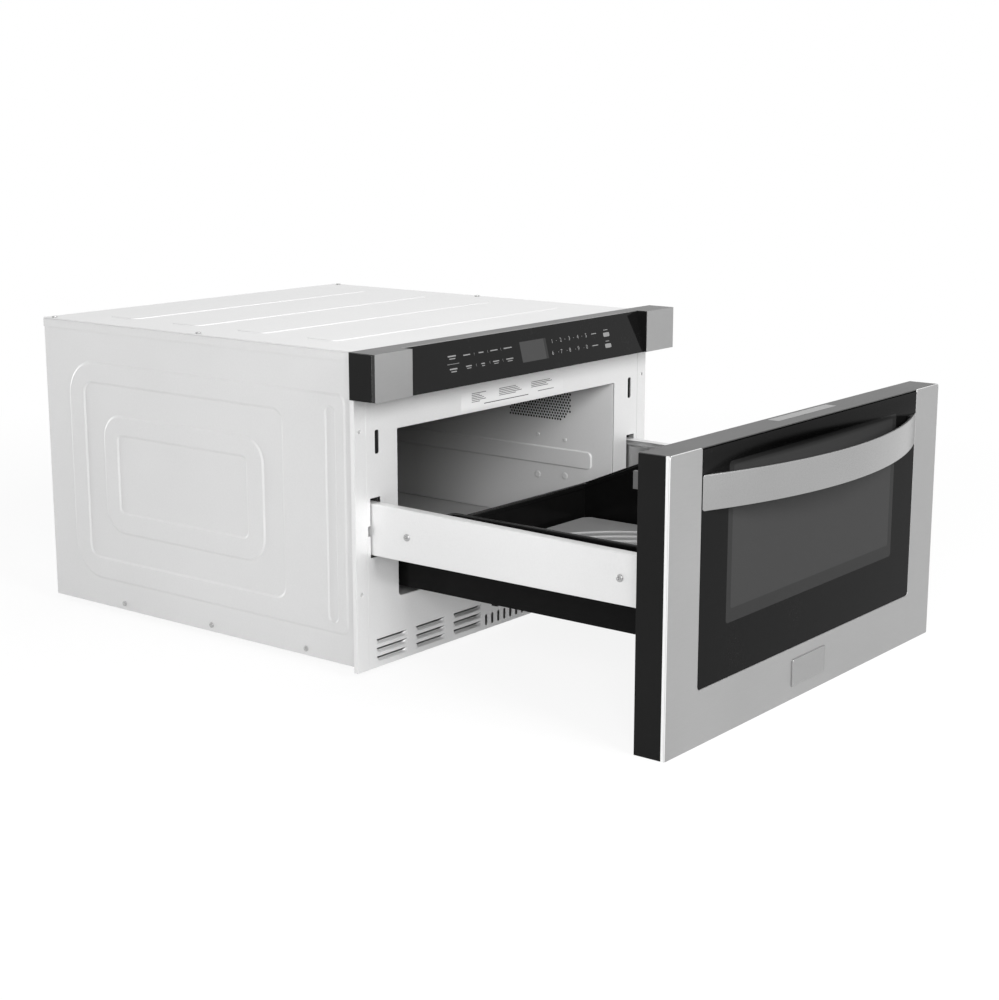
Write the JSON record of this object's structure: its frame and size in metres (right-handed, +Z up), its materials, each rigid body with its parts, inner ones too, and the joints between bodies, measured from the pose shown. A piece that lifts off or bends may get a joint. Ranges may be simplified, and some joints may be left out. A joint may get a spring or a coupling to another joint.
{
  "type": "microwave drawer",
  "caption": "Built-in microwave oven drawer, open: galvanised chassis, glass control panel, and a powered drawer with steel-framed front, bowed handle, pan and tray.",
  "frame": {"origin": "on the underside of the base plate, at the middle of the chassis in width and depth", "axes": "+X to the right of someone facing the front, -Y out of the front (the drawer comes out along -Y), +Z up"},
  "size_m": [0.606, 1.0624, 0.388],
  "materials": {
    "casing_steel": "satin galvanised sheet",
    "cavity_enamel": "satin light grey enamel",
    "stainless": "brushed",
    "black_housing": "gloss black",
    "black_glass": "polished black",
    "clear_glass": "polished",
    "black_enamel": "gloss black enamel",
    "black_sheet": "satin black",
    "tray_ceramic": "satin",
    "zinc_screw": "bright zinc",
    "slide_steel": "bright zinc",
    "gear_plastic": "matte",
    "latch_plastic": "matte light grey",
    "switch_plastic": "matte",
    "motor_steel": "satin zinc",
    "duct_plastic": "matte",
    "board_laminate": "satin",
    "display_glass": "gloss",
    "label_white": "satin paper",
    "label_silver": "satin foil",
    "mica_sheet": "satin",
    "core_steel": "varnished",
    "can_aluminium": "satin"
  },
  "bodies": {
    "cabinet": {"face_plate": "casing_steel", "left_mounting_flange": "casing_steel", "right_mounting_flange": "casing_steel", "base_plate": "casing_steel", "left_side_panel": "casing_steel", "right_side_panel": "casing_steel", "top_cover": "casing_steel", "back_panel": "casing_steel", "cabinet_screws": "zinc_screw", "oven_liner": "cavity_enamel", "blank_rating_label": "label_white", "control_panel_housing": "black_housing", "control_panel_glass": "black_glass", "control_panel_trim": "stainless", "display_module": "display_glass", "control_board": "board_laminate", "cabinet_rails": "slide_steel", "rail_brackets": "casing_steel", "drive_motor_bracket": "casing_steel", "drive_motor": "motor_steel", "interlock_switches": "switch_plastic", "interlock_brackets": "casing_steel", "waveguide": "casing_steel", "magnetron": "motor_steel", "stirrer_motor": "motor_steel", "stirrer_cover": "mica_sheet", "hv_transformer": "core_steel", "hv_capacitor": "can_aluminium", "blower_housing": "duct_plastic", "blower_motor": "motor_steel", "noise_filter_board": "board_laminate", "cavity_lamp": "motor_steel", "mains_gland": "switch_plastic"},
    "drawer": {"drawer_front_shell": "black_housing", "drawer_front_glass": "black_glass", "window_screen": "black_sheet", "inner_window_glass": "clear_glass", "drawer_front_inner_panel": "black_sheet", "drawer_front_steel_frame": "stainless", "drawer_front_top_trim": "stainless", "blank_top_label": "label_silver", "blank_badge": "stainless", "handle_bar": "stainless", "latch_hooks": "latch_plastic", "drawer_pan": "black_enamel", "cooking_tray": "tray_ceramic", "left_drawer_arm": "casing_steel", "right_drawer_arm": "casing_steel", "arm_screws": "zinc_screw", "drawer_front_screws": "zinc_screw", "drawer_rails": "slide_steel", "drive_rack": "gear_plastic"},
    "left_mid_rail": {"left_mid_rail": "slide_steel"},
    "right_mid_rail": {"right_mid_rail": "slide_steel"},
    "drive_pinion": {"drive_pinion": "gear_plastic"},
    "left_switch_plunger": {"left_switch_plunger": "latch_plastic"},
    "right_switch_plunger": {"right_switch_plunger": "latch_plastic"},
    "stirrer": {"stirrer_blades": "can_aluminium"},
    "blower_wheel": {"blower_wheel": "duct_plastic"}
  },
  "joints": [
    {"name": "drawer_slide", "type": "slide", "parent": "cabinet", "child": "drawer", "axis": [0, 1, 0], "range_m": [0, 0.392]},
    {"name": "left_mid_rail_slide", "type": "slide", "parent": "cabinet", "child": "left_mid_rail", "axis": [0, 1, 0], "range_m": [0, 0.196]},
    {"name": "right_mid_rail_slide", "type": "slide", "parent": "cabinet", "child": "right_mid_rail", "axis": [0, 1, 0], "range_m": [0, 0.196]},
    {"name": "drive_pinion_turn", "type": "hinge", "parent": "cabinet", "child": "drive_pinion", "pos_m": [-0.25094, -0.243, 0.1391], "axis": [0, 0, 1], "range_deg": [-2246.5, 0]},
    {"name": "left_plunger_press", "type": "slide", "parent": "cabinet", "child": "left_switch_plunger", "axis": [0, 1, 0], "range_m": [0, 0.0025], "stiffness_N_per_m": 250, "springref_m": -0.002},
    {"name": "right_plunger_press", "type": "slide", "parent": "cabinet", "child": "right_switch_plunger", "axis": [0, 1, 0], "range_m": [0, 0.0025], "stiffness_N_per_m": 250, "springref_m": -0.002},
    {"name": "stirrer_turn", "type": "hinge", "parent": "cabinet", "child": "stirrer", "pos_m": [0, -0.003, 0.275], "axis": [0, 0, 1], "continuous": true},
    {"name": "blower_turn", "type": "hinge", "parent": "cabinet", "child": "blower_wheel", "pos_m": [0.084, 0.223, 0.07], "axis": [1, 0, 0], "continuous": true}
  ],
  "couplings": [
    {"joint": "left_mid_rail_slide", "follows": "drawer_slide", "ratio": 0.5},
    {"joint": "right_mid_rail_slide", "follows": "drawer_slide", "ratio": 0.5},
    {"joint": "drive_pinion_turn", "follows": "drawer_slide", "rad_per_m": -100}
  ]
}
